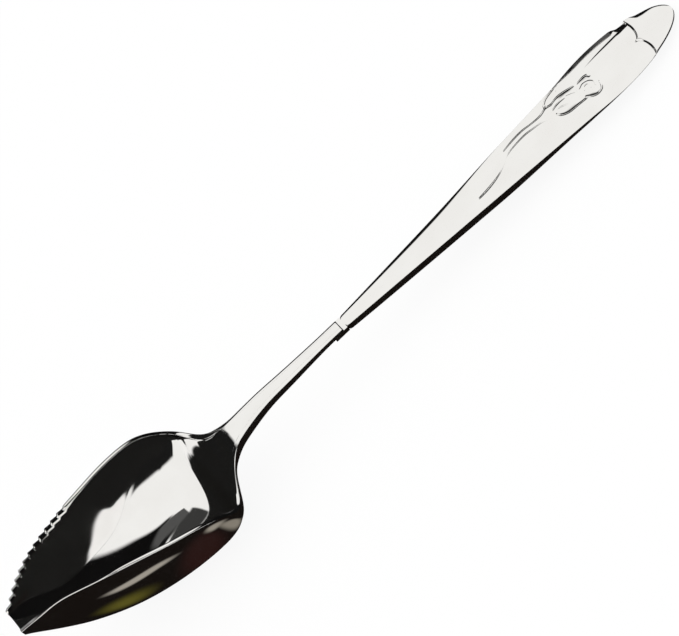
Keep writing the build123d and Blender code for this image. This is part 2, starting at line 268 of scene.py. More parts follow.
class SpoonSizes(PropertyGroup):
    """Sizes of the spoon, in metres."""

    bowl_length: length("Bowl length", "From the blunt tip to the root of the neck", 48.3 * MM)
    bowl_width: length("Bowl width", "Across the rim at its widest", 32.3 * MM)
    bowl_depth: length("Bowl depth", "From the keel to the crest of the rim", 21.97 * MM)
    tip_bulge: length("Tip bulge", "How far the tip bows out between its corners", 0.4 * MM)
    rim_thickness: length("Rim thickness", "Thickness of the metal at the rim", 1.0 * MM)
    rim_round: length("Rim round", "How far the edges of the rim are rounded over", 0.28 * MM)
    floor_thickness: length("Floor thickness", "Thickness of the metal at the keel", 1.2 * MM)
    rest_flat: length("Rest flat", "Depth of the worn flats that the spoon rests on", 0.06 * MM)
    tooth_count: IntProperty(name="Teeth", description="Saw teeth on the far rim", default=12, min=0)
    tooth_pitch: length("Tooth pitch", "From tooth to tooth along the rim", 1.85 * MM)
    tooth_depth: length("Tooth depth", "Depth of the first gullet at the tip", 0.8 * MM)
    tooth_fade: ratio("Tooth fade", "Share of depth lost by the last tooth", 0.65)
    tooth_lean: ratio("Tooth lean", "Share of the pitch in the long flank", 0.78)
    first_tooth: length("First tooth", "From the tip to the first tooth", 0.4 * MM)
    neck_width: length("Neck width", "Across the neck behind the bowl", 4.6 * MM)
    neck_thickness: length("Neck thickness", "Through the neck behind the bowl", 2.4 * MM)
    neck_dip: length("Neck dip", "How far the neck dips under the handle's line", 0.75 * MM)
    shank_length: length("Shank length", "From the bowl to the mouth of the handle", 32.3 * MM)
    shank_width: length("Shank width", "Across the shank at the handle", 3.3 * MM)
    shank_thickness: length("Shank thickness", "Through the shank at the handle", 1.6 * MM)
    neck_roll: length("Neck roll", "How far from its far edge the neck starts to roll over", 0.5 * MM)
    neck_drop: length("Neck drop", "How far the neck drops where it rolls over", 0.2 * MM)
    end_round: length("End round", "Round on the shank's end at the collar", 0.4 * MM)
    top_hollow: length("Top hollow", "Hollow along the top of the shank", 0.005 * MM)
    tang_length: length("Tang length", "Tongue of the shank inside the handle", 32.0 * MM)
    tang_width: length("Tang width", "Across the tang", 1.3 * MM)
    tang_thickness: length("Tang thickness", "Through the tang", 0.6 * MM)
    tang_drop: length("Tang drop", "From the front face down to the tang", 0.65 * MM)
    collar_gap: length("Collar gap", "Gap between shank and handle that the collar fills", 0.9 * MM)
    collar_reach: length("Collar reach", "How far the collar's lip reaches forward under the shank", 2.3 * MM)
    handle_length: length("Handle length", "From the mouth to the rounded end", 82.9 * MM)
    handle_width: length("Handle width", "Across the handle at its widest", 15.1 * MM)
    handle_depth: length("Handle depth", "From front to back where it is thickest", 3.0 * MM)
    mouth_width: length("Mouth width", "Across the mouth of the handle", 3.6 * MM)
    mouth_depth: length("Mouth depth", "From front to back at the mouth", 1.9 * MM)
    mouth_radius: length("Mouth radius", "Corner radius at the mouth", 0.7 * MM)
    end_ogive: length("End ogive", "Length of the rounded end", 16.5 * MM)
    end_depth: length("End depth", "From front to back at the end", 0.75 * MM)
    back_swell: length("Back swell", "How far the back swells under its deepest section", 0.02 * MM)
    edge_bevel: length("Edge bevel", "Fine bevel on the edges of the front face", 0.06 * MM)
    end_edge: length("End edge", "Depth of the upright edge round the end", 0.14 * MM)
    end_tuck: length("End tuck", "How far the skirt tucks under the end", 0.75 * MM)
    far_roll: length("Far roll", "How far from its far edge the front face starts to roll over", 1.7 * MM)
    far_drop: length("Far drop", "How far the face drops where it rolls over", 0.45 * MM)
    stroke_depth: length("Stroke depth", "Depth of the strongest strokes of the ornament", 0.09 * MM)
    bud_rise: length("Bud rise", "Height of the bud over the panel", 0.1 * MM)
    lip_rise: length("Lip rise", "Height of the panel's far lip", 0.3 * MM)
    lip_width: length("Lip width", "Width of the panel's far lip", 0.78 * MM)
    shell_wall: length("Shell wall", "Thickness of the two handle shells", 0.4 * MM)
    front_skirt: length("Front skirt", "Depth of the front shell's edge", 0.6 * MM)
    cap_length: length("Cap length", "Length of the raised cap at the end", 9.0 * MM)
    cap_lobe: length("Cap lobe", "How far the two lobes run into the cap", 1.4 * MM)
    cap_rise: length("Cap rise", "Height of the cap over the panel", 0.3 * MM)
    corner_dip: length("Corner dip", "How far the panel dips in its far corner at the cap", 0.36 * MM)


class SpoonColours(PropertyGroup):
    """Colours of the spoon and its stage, as sRGB."""

    steel: tint("Steel", "Polished stainless steel", srgb("#f2f1ee"))
    steel_shade: tint("Steel shade", "Where the polish is a little duller", srgb("#e9e7e3"))
    cement: tint("Cement", "Core of the handle", srgb("#8d877e"))
    grit: tint("Grit", "Darker grains in the cement", srgb("#6f6a62"))
    floor: tint("Floor", "The white floor", srgb("#ffffff"))
    table: tint("Table", "Dark table that the metal mirrors", srgb("#15110f"))


def spoon_lines(sizes):
    """Places shared by all pieces: the lean that rests the back of the handle on the floor, the
    ends of the bowl, shank and handle along X, and the height of the handle's mouth."""
    mouth_height = float(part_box("handle_front")[1][2])
    widest_at = sizes.handle_length - sizes.end_ogive
    lowest_back = sizes.handle_depth + sizes.back_swell - sizes.rest_flat
    lean = asin(mouth_height / hypot(widest_at, lowest_back)) - atan2(lowest_back, widest_at)
    tip_x = float(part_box("serrated_bowl")[0][0])
    root_x = tip_x + sizes.bowl_length
    mouth_x = root_x + sizes.shank_length
    return {
        "lean": lean,
        "tip_x": tip_x,
        "root_x": root_x,
        "mouth_x": mouth_x,
        "mouth_height": mouth_height,
        "widest_at": widest_at,
    }


def along_handle(lines, along, across, above):
    """Points from distances along the handle, across it and above its front face: the mouth plus
    each distance times its axis, stacked as x, y, z."""
    lean = lines["lean"]
    along, across, above = np.broadcast_arrays(along, across, above)
    x = lines["mouth_x"] + along * cos(lean) + above * sin(lean)
    z = lines["mouth_height"] - along * sin(lean) + above * cos(lean)
    return np.stack((x, across, z), axis=-1)


def offset_rows(sizes, lines):
    """Offsets in metres: place, half width, top, floor of the hollow, underside, fullness."""
    rows = []
    for along, width_share, rim_share, keel_share, gauge, fullness in BOWL_OFFSETS:
        rim = rim_share * sizes.bowl_depth - sizes.rest_flat
        keel = keel_share * sizes.bowl_depth - sizes.rest_flat
        floor = keel + gauge * sizes.floor_thickness
        place = lines["tip_x"] + along * sizes.bowl_length
        rows.append((place, width_share * sizes.bowl_width / 2, rim, floor, keel, fullness))
    shank_end = lines["mouth_x"] - sizes.collar_gap * cos(lines["lean"])
    straight_at = shank_end - 2 * sizes.collar_reach * cos(lines["lean"])
    shank = [(lines["root_x"] + along * sizes.shank_length, *rest) for along, *rest in NECK_OFFSETS]
    thin = sizes.shank_thickness / sizes.neck_thickness
    narrow = sizes.shank_width / sizes.neck_width
    shank += [(straight_at, narrow, thin, 0.0), (shank_end, narrow, thin, 0.0)]
    for place, width_share, gauge, dip in shank:
        top = lines["mouth_height"] + (lines["mouth_x"] - place) * tan(lines["lean"]) - dip * sizes.neck_dip
        under = top - gauge * sizes.neck_thickness
        half = width_share * sizes.neck_width / 2
        rows.append((place, half, top, top - sizes.top_hollow, under, NECK_FULLNESS))
    return np.array(rows)


def faired(rows, places, blur):
    """Columns of the offsets at the places: cubic curves through the rows, with the slope at each
    row that of the chord between its neighbours, then a Gaussian mean along the spoon, so that
    curvature, and with it the mirror image in the metal, runs on without a kink."""
    x = rows[:, 0]
    low = np.maximum(np.arange(len(x)) - 1, 0)
    high = np.minimum(np.arange(len(x)) + 1, len(x) - 1)
    slopes = (rows[high] - rows[low]) / (x[high] - x[low])[:, None]
    step = blur / 8
    reach = 4 * blur
    dense = np.arange(x[0] - reach, x[-1] + reach, step)
    inside = np.clip(dense, x[0], x[-1])
    index = np.clip(np.searchsorted(x, inside, side="right") - 1, 0, len(x) - 2)
    span = x[index + 1] - x[index]
    t = ((inside - x[index]) / span)[:, None]
    a, b = rows[index], rows[index + 1]
    pull = span[:, None] * t * (1 - t) * (slopes[index] * (1 - t) - slopes[index + 1] * t)
    run_on = slopes[np.where(dense < x[0], 0, -1)] * (dense - inside)[:, None]
    curves = a + (b - a) * ease(t, 0, 1) + pull + run_on
    offsets = np.arange(-reach, reach + step / 2, step)
    weights = np.exp(-0.5 * (offsets / blur) ** 2)
    weights /= weights.sum()
    smooth = np.stack([np.convolve(column, weights, mode="same") for column in curves.T], axis=1)
    return np.stack([np.interp(places, dense, column) for column in smooth.T], axis=1)


def half_wall(half_width, top, bottom, fullness, cut, steps):
    """One side of a trough from its edge down to its keel: the superellipse
    across^n + down^n = 1, with down running from the cut's share of the depth to 1."""
    t = np.linspace(0, 1, steps)[None, :]
    n = fullness[:, None]
    turn = pi / 2 * t ** (n / 2) / (t ** (n / 2) + (1 - t) ** (n / 2))
    down = np.sin(turn) ** (2 / n)
    share = (cut / (top - bottom))[:, None]
    down = share + (1 - share) * down
    across = np.clip(1 - down**n, 0, None) ** (1 / n)
    return half_width[:, None] * across, top[:, None] + (bottom - top)[:, None] * down


def crown(outer, inner, height, flat, steps):
    """The rounded top of the rim, from its outer to its inner edge: a superellipse, the flatter on top
    the smaller its power."""
    turn = np.linspace(0, pi, steps + 2)[None, 1:-1]
    middle, half = (outer + inner) / 2, (outer - inner) / 2
    flat = flat[:, None]
    side = np.sign(np.cos(turn)) * np.abs(np.cos(turn)) ** flat
    return middle[:, None] + half[:, None] * side, height * np.sin(turn) ** flat


def strip_cap(first, last):
    """Faces that close the end of a dished section: quads between two rows of indices."""
    return np.stack((first[:-1], first[1:], last[1:], last[:-1]), axis=1)


def skin(count, loop):
    """Quads of a grid of closed loops: each point with the next round its loop and the next loop."""
    row = np.arange(count - 1)[:, None] * loop
    column = np.arange(loop)[None, :]
    beside = (column + 1) % loop
    quads = np.stack((row + column, row + beside, row + loop + beside, row + loop + column), axis=-1)
    return quads.reshape(-1, 4)


def capped(count, loop):
    """Faces of a grid of closed loops with one face over each end."""
    return [skin(count, loop), [np.arange(loop)], [np.arange(loop) + (count - 1) * loop]]


def solid(name, points, faces, sharp):
    """A closed mesh object from points and lists of faces: doubles merged, faces turned outwards,
    smooth except where two faces turn by more than the sharp angle, in degrees."""
    mesh = bpy.data.meshes.new(name)
    corners = [list(face) for group in faces for face in group]
    mesh.from_pydata(points.reshape(-1, 3).tolist(), [], corners)
    form = bmesh.new()
    form.from_mesh(mesh)
    bmesh.ops.remove_doubles(form, verts=form.verts, dist=WELD_REACH)
    bmesh.ops.dissolve_degenerate(form, edges=form.edges, dist=WELD_REACH)
    bmesh.ops.recalc_face_normals(form, faces=form.faces)
    form.to_mesh(mesh)
    form.free()
    mesh.shade_smooth()
    mesh.set_sharp_from_angle(angle=radians(sharp))
    piece = bpy.data.objects.new(name, mesh)
    bpy.context.scene.collection.objects.link(piece)
    return piece


def made_piece(context, name, surface, crease, material):
    """The closed mesh object of a surface, in its material."""
    sizes = context.scene.spoon_sizes
    points, faces = surface(sizes, spoon_lines(sizes))
    piece = solid(name, points, faces, crease)
    piece.data.materials.append(material(context.scene.spoon_colours))
    return piece


def tooth_cuts(sizes, lines, places, rows, blur):
    """Depth of the saw cut at each place, and the places where its flanks meet: measured along the rim
    in pitches, each tooth sinks over its long flank and rises over its steep one, less deep from tooth
    to tooth."""
    fine_gap = 0.02 * MM
    halfway = lines["tip_x"] + sizes.bowl_length / 2
    fine = np.arange(lines["tip_x"] + sizes.first_tooth, halfway, fine_gap)
    columns = faired(rows, fine, blur)
    rim = np.stack((fine, columns[:, 1], columns[:, 2]), axis=1)
    run = np.concatenate(([0.0], np.cumsum(np.linalg.norm(np.diff(rim, axis=0), axis=1))))
    pitches = np.interp(places, fine, run / sizes.tooth_pitch, left=-1.0)
    tooth = np.floor(pitches)
    phase = pitches - tooth
    shape = np.minimum(phase / sizes.tooth_lean, (1 - phase) / (1 - sizes.tooth_lean))
    depth = sizes.tooth_depth * (1 - sizes.tooth_fade * tooth / sizes.tooth_count)
    cuts = np.where((tooth >= 0) & (tooth < sizes.tooth_count), shape * depth, 0.0)
    breaks = np.arange(sizes.tooth_count)[:, None] + np.array((0.0, sizes.tooth_lean))[None, :]
    return cuts, np.interp(breaks.ravel() * sizes.tooth_pitch, run, fine)


def bowl_surface(sizes, lines):
    """Grid of the bowl, neck and shank. Each row is a loop round one section: outer wall, near rim,
    inner wall and far rim, at stations along X. The rims are rounded, but towards the tip the near one
    slopes evenly down to its inner edge. The +Y rim sinks by the tooth cuts, the far edge of the neck
    rolls over as a quarter ellipse, and so does the shank's end."""
    blur, station_gap, corner = 0.8 * MM, 0.32 * MM, 0.02 * MM
    wall_steps, crown_steps, shank_steps, end_steps = 44, 9, 50, 9
    root_drop, root_roll = 2.5, 4
    flattest, brow = 0.45, 0.04
    bow_reach = 3 * MM
    rows = offset_rows(sizes, lines)
    start, end = rows[0, 0], rows[-1, 0]
    neck_end = lines["root_x"] + sizes.neck_width
    bowl_places = np.arange(start, neck_end, station_gap)
    shank_places = np.linspace(neck_end, end, shank_steps)
    end_places = np.linspace(end - sizes.end_round, end, end_steps)
    _, breaks = tooth_cuts(sizes, lines, bowl_places, rows, blur)
    near_breaks = (breaks[:, None] + np.array((-corner, corner))[None, :]).ravel()
    places = np.unique(np.concatenate((bowl_places, shank_places, end_places, near_breaks)))
    cuts, _ = tooth_cuts(sizes, lines, places, rows, blur)
    _, half, top, floor, keel, fullness = faired(rows, places, blur).T
    taper = np.gradient(half, places)
    edge = np.minimum(sizes.rim_thickness * np.hypot(1, taper), half / 2)
    shoulder = np.minimum(sizes.rim_round, (top - floor) / 2)
    lip = top - shoulder
    none = np.zeros_like(cuts)
    past_tip, past_root = places - start, places - lines["root_x"]
    drop_share = root_drop - (root_drop - 1) * over(past_root, NECK_DROP_FADES)
    drop = over(past_root, NECK_STARTS_TO_ROLL) * sizes.neck_drop * drop_share
    far_outer = half_wall(half, lip, keel, fullness, cuts + drop, wall_steps)
    near_outer = half_wall(half, lip, keel, fullness, none, wall_steps)
    far_inner = half_wall(half - edge, lip, floor, fullness, np.minimum(cuts, lip - floor), wall_steps)
    near_inner = half_wall(half - edge, lip, floor, fullness, none, wall_steps)
    flat = 1.0 - (1.0 - flattest) * over(past_tip, RIM_FLATTENS)
    far_rim = crown(half - edge, half, shoulder[:, None], flat, crown_steps)
    near_rim = crown(half, half - edge, shoulder[:, None], flat, crown_steps)
    inward = (half[:, None] - near_rim[0]) / edge[:, None]
    sloped = shoulder[:, None] * (1 - inward) * (1 - np.exp(-inward / brow))
    near_top = sloped + (near_rim[1] - sloped) * over(past_tip, RIM_ROUNDS)[:, None]
    across = np.hstack((
        far_outer[0], -near_outer[0][:, -2::-1], -near_rim[0],
        -near_inner[0], far_inner[0][:, -2::-1], far_rim[0],
    ))
    height = np.hstack((
        far_outer[1], near_outer[1][:, -2::-1], near_top + lip[:, None],
        near_inner[1], far_inner[1][:, -2::-1], far_rim[1] + (lip - cuts)[:, None],
    ))
    wall = 2 * wall_steps - 1
    roll_share = root_roll - (root_roll - 1) * over(past_root, NECK_ROLL_NARROWS)
    roll_width = sizes.neck_roll * roll_share[:, None]
    roll = np.clip((across[:, wall:] - half[:, None]) / roll_width + 1, 0, 1)
    height[:, wall:] -= drop[:, None] * (1 - np.sqrt(1 - roll**2))
    rounded = np.clip((places - end) / sizes.end_round + 1, 0, 1)
    lost = sizes.end_round / 2 * (1 - np.sqrt(1 - rounded**2)) / (top - keel)
    low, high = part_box("serrated_bowl")
    height = np.clip(height - (height - keel[:, None]) * lost[:, None], float(low[2]), float(high[2]))
    bow = sizes.tip_bulge * np.exp(-((past_tip / bow_reach) ** 2))
    tip_width = 2 * half[0]
    along = places[:, None] + bow[:, None] * (across / tip_width) ** 2
    points = np.stack((along, across, height), axis=-1)
    count, loop = across.shape
    outer = np.arange(wall)
    inner = np.arange(2 * wall + crown_steps - 1, wall + crown_steps - 1, -1)
    near_cap = np.arange(wall - 1, wall + crown_steps + 1)
    far_cap = np.append(np.arange(2 * wall + crown_steps - 1, loop), 0)
    faces = [skin(count, loop)]
    for shift in (0, (count - 1) * loop):
        faces += [strip_cap(outer + shift, inner + shift), [near_cap + shift], [far_cap + shift]]
    return points, faces


def tang_bar(sizes, lines):
    """The tongue of the shank inside the handle: a bar from within the shank's end to its own."""
    inside = sizes.collar_gap + sizes.tang_thickness
    along, across, below = np.meshgrid(
        (-inside, sizes.tang_length),
        (-sizes.tang_width / 2, sizes.tang_width / 2),
        (-sizes.tang_drop - sizes.tang_thickness, -sizes.tang_drop),
        indexing="ij",
    )
    points = along_handle(lines, along, across, below).reshape(-1, 3)
    faces = ((0, 1, 3, 2), (4, 6, 7, 5), (0, 4, 5, 1), (2, 3, 7, 6), (0, 2, 6, 4), (1, 5, 7, 3))
    return points, faces


def bowl_and_tang(sizes, lines):
    """The points and faces of the bowl with those of its tang after them."""
    points, faces = bowl_surface(sizes, lines)
    tang_points, tang_faces = tang_bar(sizes, lines)
    faces += [[np.asarray(face) + points.size // 3 for face in tang_faces]]
    return np.concatenate((points.reshape(-1, 3), tang_points)), faces


class SPOON_OT_bowl(Operator):
    """Make the serrated bowl with its neck, shank and tang"""

    bl_idname = "spoon.bowl"
    bl_label = "Serrated bowl"

    def execute(self, context):
        bowl = made_piece(context, "bowl_skin", bowl_and_tang, BOWL_CREASE, polished_steel)
        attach(bowl, "root")
        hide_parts("serrated_bowl")
        return {"FINISHED"}


def past_widest(sizes, lines, along):
    """How far round the end each distance along lies: 0 up to the widest place, 1 at the very end."""
    return np.clip((along - lines["widest_at"]) / sizes.end_ogive, 0, 1)


def outline(sizes, lines, along):
    """Half width of the handle's front: a rounded mouth, an even taper that eases into the widest
    place, and a half ellipse round the end."""
    widest_at = lines["widest_at"]
    mouth, widest = sizes.mouth_width / 2, sizes.handle_width / 2
    taper_at, taper_half = TAPER_SHARE * widest_at, mouth + TAPER_GAIN * (widest - mouth)
    even = (taper_half - mouth) / taper_at
    span = widest_at - taper_at
    t = np.clip((along - taper_at) / span, 0, 1)
    eased = taper_half + (widest - taper_half) * ease(t, 0, 1) + span * t * (1 - t) ** 2 * even
    half = np.where(along < taper_at, mouth + even * along, eased)
    round_end = widest * np.sqrt(1 - past_widest(sizes, lines, along) ** 2)
    half = np.where(along > widest_at, round_end, half)
    nose = np.clip(1 - along / sizes.mouth_radius, 0, 1)
    return np.maximum(half - sizes.mouth_radius * (1 - np.sqrt(1 - nose**2)), 0.0)


def handle_stations(sizes, lines):
    """Distances along the handle: close at the mouth, on the ornament, at the cap and at the end."""
    plain_gap, carved_gap, cap_gap = 0.6 * MM, 0.14 * MM, 0.07 * MM
    nose_steps, end_steps = 10, 60
    plain_from, carved_from = 1.0 * MM, 33 * MM
    cap_at = sizes.handle_length - sizes.cap_length
    cap_from, cap_to = cap_at - 1 * MM, cap_at + 3 * MM
    nose = sizes.mouth_radius * (1 - np.cos(np.linspace(0, pi / 2, nose_steps)))
    plain = np.arange(plain_from, carved_from, plain_gap)
    carved = np.arange(carved_from, cap_from, carved_gap)
    cap = np.arange(cap_from, cap_to, cap_gap)
    past = (cap_to - lines["widest_at"]) / sizes.end_ogive
    turns = np.linspace(asin(past), pi / 2, end_steps)
    round_end = lines["widest_at"] + sizes.end_ogive * np.sin(turns)
    return np.unique(np.concatenate((nose, plain, carved, cap, round_end)))


def cap_step(sizes, along, across):
    """Height of the cap: a soft step behind two lobes that meet in a cusp on the middle line, with a
    fine groove along its foot and a dip of the panel before it in the far corner."""
    soft, groove_share = 0.09 * MM, 0.6
    corner_from, corner_width = 4.9 * MM, 2.4 * MM
    half_lobe = sizes.handle_width / 4
    place = (np.abs(across) - half_lobe) / half_lobe
    edge = sizes.handle_length - sizes.cap_length + sizes.cap_lobe * np.sqrt(np.clip(1 - place**2, 0, 1))
    foot = np.exp(-np.abs(along - edge + 2 * soft) / soft)
    step = 1 / (1 + np.exp(-(along - edge) / soft))
    corner = np.clip((across - corner_from) / corner_width, 0, 1)
    dip = over(along, CORNER_DIPS) * corner * (1 - step)
    return sizes.cap_rise * step - groove_share * sizes.stroke_depth * foot - sizes.corner_dip * dip


def stroke(along, across, path, depth, far_reach=1.0):
    """Relief of one stroke: the depth times its share at the nearest point of a smooth curve through
    the path, falling off evenly by powers with the distance over the width there, so that the
    stroke is a sharp furrow with two mirror-dark flanks. The far flank is wider by the far reach."""
    step, blur, margin, flank = 0.08, 0.1, 2, 0.6
    path = np.array(path)
    run = np.concatenate(([0.0], np.cumsum(np.hypot(*np.diff(path[:, :2], axis=0).T))))
    dense = np.arange(0, run[-1], step)
    curve = faired(np.column_stack((run, path)), dense, blur)[:, 1:]
    first, last = curve[:, 0].min() - margin, curve[:, 0].max() + margin
    reach = (along > first * MM) & (along < last * MM)
    away = np.hypot(along[reach][:, None] / MM - curve[:, 0], across[reach][:, None] / MM - curve[:, 1])
    nearest = away.argmin(axis=1)
    _, middle, share, width = curve[nearest].T
    width = width * np.where(across[reach] / MM > middle, far_reach, 1.0)
    relief = np.zeros(along.shape)
    relief[reach] = -depth * share * np.exp(-away.min(axis=1) / (flank * width))
    return relief


def ornament(sizes, along, across, half):
    """Relief of the front face: the sum of the strokes, the hollow of the end panel, bell-shaped
    swellings under the bud and its head, and a lip that rises along the panel's far edge."""
    least_lip = 0.01
    relief = sum(stroke(along, across, path, sizes.stroke_depth) for path in STROKES)
    relief = relief + stroke(along, across, PANEL_HOLLOW, sizes.stroke_depth, HOLLOW_REACH)
    for middle, beside, reach, side_reach in SWELLINGS:
        swell = ((along / MM - middle) / reach) ** 2 + ((across / MM - beside) / side_reach) ** 2
        relief = relief + sizes.bud_rise * np.exp(-(swell**2))
    lip = over(along, LIP_RISES) * (1 - over(along, LIP_ENDS))
    lip = np.maximum(lip, least_lip)
    ramp = np.clip((across - half) / (sizes.lip_width * lip) + 1, 0, 1)
    return relief + lip * sizes.lip_rise * ramp


def tucked_edge(sizes, lines, along):
    """The edge of the front shell at each distance along: the depth of its upright part, how far the
    skirt below it tucks in across, and the distance along of the tucked skirt. From the middle of
    the handle to its end the upright part thins and the skirt tucks under."""
    thin = over(along, EDGE_THINS)
    half = outline(sizes, lines, along)
    upright = sizes.front_skirt + (sizes.end_edge - sizes.front_skirt) * thin
    upright = upright * (1 - over(along, EDGE_VANISHES))
    low = along - sizes.end_tuck * thin * past_widest(sizes, lines, along)
    return upright, np.minimum(sizes.end_tuck * thin, half / 3), low


def front_surface(sizes, lines):
    """Grid of the front shell. Each row is a loop round one section: the bevelled near edge, the front
    face with its relief, the far edge that rolls over as a quarter ellipse, the skirt and the inner
    side."""
    roll_steps, bevel_steps, face_steps = 13, 4, 131
    roll_loss = 0.6
    along = handle_stations(sizes, lines)[:, None]
    half = outline(sizes, lines, along)
    near = np.minimum(sizes.edge_bevel, half / 3)
    by_the_end = over(along, FAR_ROLL_RETURNS) * (1 - roll_loss * over(along, FAR_ROLL_FADES))
    shown = 1 - over(along, FAR_ROLL_ENDS) + by_the_end
    far = np.minimum(sizes.edge_bevel + sizes.far_roll * shown, half / 2)
    drop = sizes.edge_bevel + (sizes.far_drop - sizes.edge_bevel) * shown
    turn = np.linspace(0, pi / 2, roll_steps)[None, :]
    bevel = np.linspace(0, 1, bevel_steps)[None, :]
    near_across = -half + near * bevel
    near_down = near * (1 - bevel)
    far_across = half - far * (1 - np.sin(turn))
    far_down = drop * (1 - np.cos(turn))
    middle = near - half + np.linspace(0, 1, face_steps)[None, 1:-1] * (2 * half - near - far)
    across = np.hstack((near_across, middle, far_across))
    down = np.hstack((near_down, np.zeros_like(middle), far_down))
    places = np.broadcast_to(along, across.shape)
    top = cap_step(sizes, places, across) + ornament(sizes, places, across, half) - down
    upright, tuck, low = tucked_edge(sizes, lines, along)
    far_upright = np.maximum(upright, sizes.far_drop)
    ring = half - tuck
    inner = ring - np.minimum(sizes.shell_wall, half / 3)
    skirt = np.full_like(inner, -sizes.front_skirt)
    under = np.full_like(inner, -sizes.shell_wall)
    loop_across = np.hstack((across, half, ring, inner, inner, -inner, -inner, -ring, -half))
    loop_above = np.hstack((top, -far_upright, skirt, skirt, under, under, skirt, skirt, -upright))
    loop_along = np.hstack((places, along, low, low, low, low, low, low, along))
    points = along_handle(lines, loop_along, loop_across, loop_above)
    count, loop = loop_across.shape
    return points, capped(count, loop)


class SPOON_OT_front(Operator):
    """Make the front shell of the handle with its cap and ornament"""

    bl_idname = "spoon.front"
    bl_label = "Handle front"

    def execute(self, context):
        front = made_piece(context, "handle_front_skin", front_surface, HANDLE_CREASE, polished_steel)
        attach(front, "root")
        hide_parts("handle_front")
        return {"FINISHED"}


def back_depth(sizes, lines, along):
    """Depth of the back: a quarter sine that fills out early, then a power curve round the end."""
    share = np.clip(along / lines["widest_at"], 0, 1) ** FILLING_POWER
    filling = sizes.mouth_depth + (sizes.handle_depth - sizes.mouth_depth) * np.sin(share * pi / 2)
    closing = past_widest(sizes, lines, along) ** CLOSING_POWER
    return filling - (sizes.handle_depth - sizes.end_depth) * closing


def back_power(along):
    """Power of the back's section at each distance along: full by the mouth, a lens by the end."""
    return MOUTH_POWER + (LENS_POWER - MOUTH_POWER) * over(along, BACK_THINS)


def back_surface(sizes, lines):
    """Grid of the back shell. Each loop runs under the skirt from edge to edge, as deep as a power of
    the height of a half circle, full by the mouth and lens-shaped by the end, and back on its inner
    side."""
    arc_steps, spacing = 65, 3
    along = np.append(handle_stations(sizes, lines)[::spacing], sizes.handle_length)
    half = outline(sizes, lines, along)
    depth = back_depth(sizes, lines, along)
    _, tuck, low = tucked_edge(sizes, lines, along)
    power = back_power(along)

    def arc(half_width, belly):
        turn = np.linspace(0, pi, arc_steps)[None, :]
        height = np.clip(np.sin(turn), 0, 1) ** power[:, None]
        below = sizes.front_skirt + (belly - sizes.front_skirt)[:, None] * height
        return half_width[:, None] * np.cos(turn), -below

    wall = np.minimum(sizes.shell_wall, half / 3)
    outer = arc(half - tuck, depth)
    inner = arc(half - tuck - wall, np.maximum(depth - sizes.shell_wall, sizes.front_skirt))
    across = np.hstack((outer[0], inner[0][:, ::-1]))
    above = np.hstack((outer[1], inner[1][:, ::-1]))
    points = along_handle(lines, low[:, None], across, above)
    points[..., 2] = np.maximum(points[..., 2], 0.0)
    count, loop = across.shape
    ring = np.arange(loop // 2)
    faces = [skin(count, loop)]
    for shift in (0, (count - 1) * loop):
        faces.append(strip_cap(ring + shift, loop - 1 - ring + shift))
    return points, faces


class SPOON_OT_back(Operator):
    """Make the back shell of the handle"""

    bl_idname = "spoon.back"
    bl_label = "Handle back"

    def execute(self, context):
        back = made_piece(context, "handle_back_skin", back_surface, HANDLE_CREASE, polished_steel)
        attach(back, "root")
        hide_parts("handle_back")
        return {"FINISHED"}


def node(tree, kind, inputs=None, **settings):
    """Add a shader node with its settings, and give each named input a value or a link."""
    made = tree.nodes.new(kind)
    for name, value in settings.items():
        setattr(made, name, value)
    for name, value in (inputs or {}).items():
        if isinstance(value, bpy.types.NodeSocket):
            tree.links.new(value, made.inputs[name])
        else:
            made.inputs[name].default_value = value
    return made


def empty_material(name):
    """A new material without nodes, and its node tree."""
    material = bpy.data.materials.new(name)
    material.use_nodes = True
    material.node_tree.nodes.clear()
    return material, material.node_tree


def polished_steel(colours):
    """Stainless steel, stamped and mirror polished: near-white metal with a faint uneven polish."""
    name = "polished_stainless_steel"
    if name in bpy.data.materials:
        return bpy.data.materials[name]
    cloud_size = 6 * MM
    material, tree = empty_material(name)
    place = node(tree, "ShaderNodeTexCoord").outputs["Object"]
    cloud = node(tree, "ShaderNodeTexNoise", {"Vector": place, "Scale": 1 / cloud_size, "Detail": 3.0})
    tone = node(
        tree, "ShaderNodeMix",
        {0: cloud.outputs["Fac"], 6: linear(colours.steel), 7: linear(colours.steel_shade)},
        data_type="RGBA",
    )
    gloss = node(
        tree, "ShaderNodeMapRange",
        {"Value": cloud.outputs["Fac"], "From Min": 0.3, "From Max": 0.7, "To Min": 0.03, "To Max": 0.06},
    )
    shader = node(
        tree, "ShaderNodeBsdfPrincipled",
        {"Base Color": tone.outputs[2], "Metallic": 1.0, "Roughness": gloss.outputs["Result"]},
    )
    node(tree, "ShaderNodeOutputMaterial", {"Surface": shader.outputs["BSDF"]})
    return material


def cement(colours):
    """Cement core: a dull grey mineral, rough and speckled."""
    grain_size, grain_height = 0.4 * MM, 0.05 * MM
    material, tree = empty_material("cement_core")
    place = node(tree, "ShaderNodeTexCoord").outputs["Object"]
    grit = node(tree, "ShaderNodeTexNoise", {"Vector": place, "Scale": 1 / grain_size, "Detail": 4.0})
    tone = node(
        tree, "ShaderNodeMix",
        {0: grit.outputs["Fac"], 6: linear(colours.cement), 7: linear(colours.grit)},
        data_type="RGBA",
    )
    bump = node(tree, "ShaderNodeBump", {"Height": grit.outputs["Fac"], "Distance": grain_height})
    shader = node(
        tree, "ShaderNodeBsdfPrincipled",
        {"Base Color": tone.outputs[2], "Roughness": 0.9, "Normal": bump.outputs["Normal"]},
    )
    node(tree, "ShaderNodeOutputMaterial", {"Surface": shader.outputs["BSDF"]})
    return material


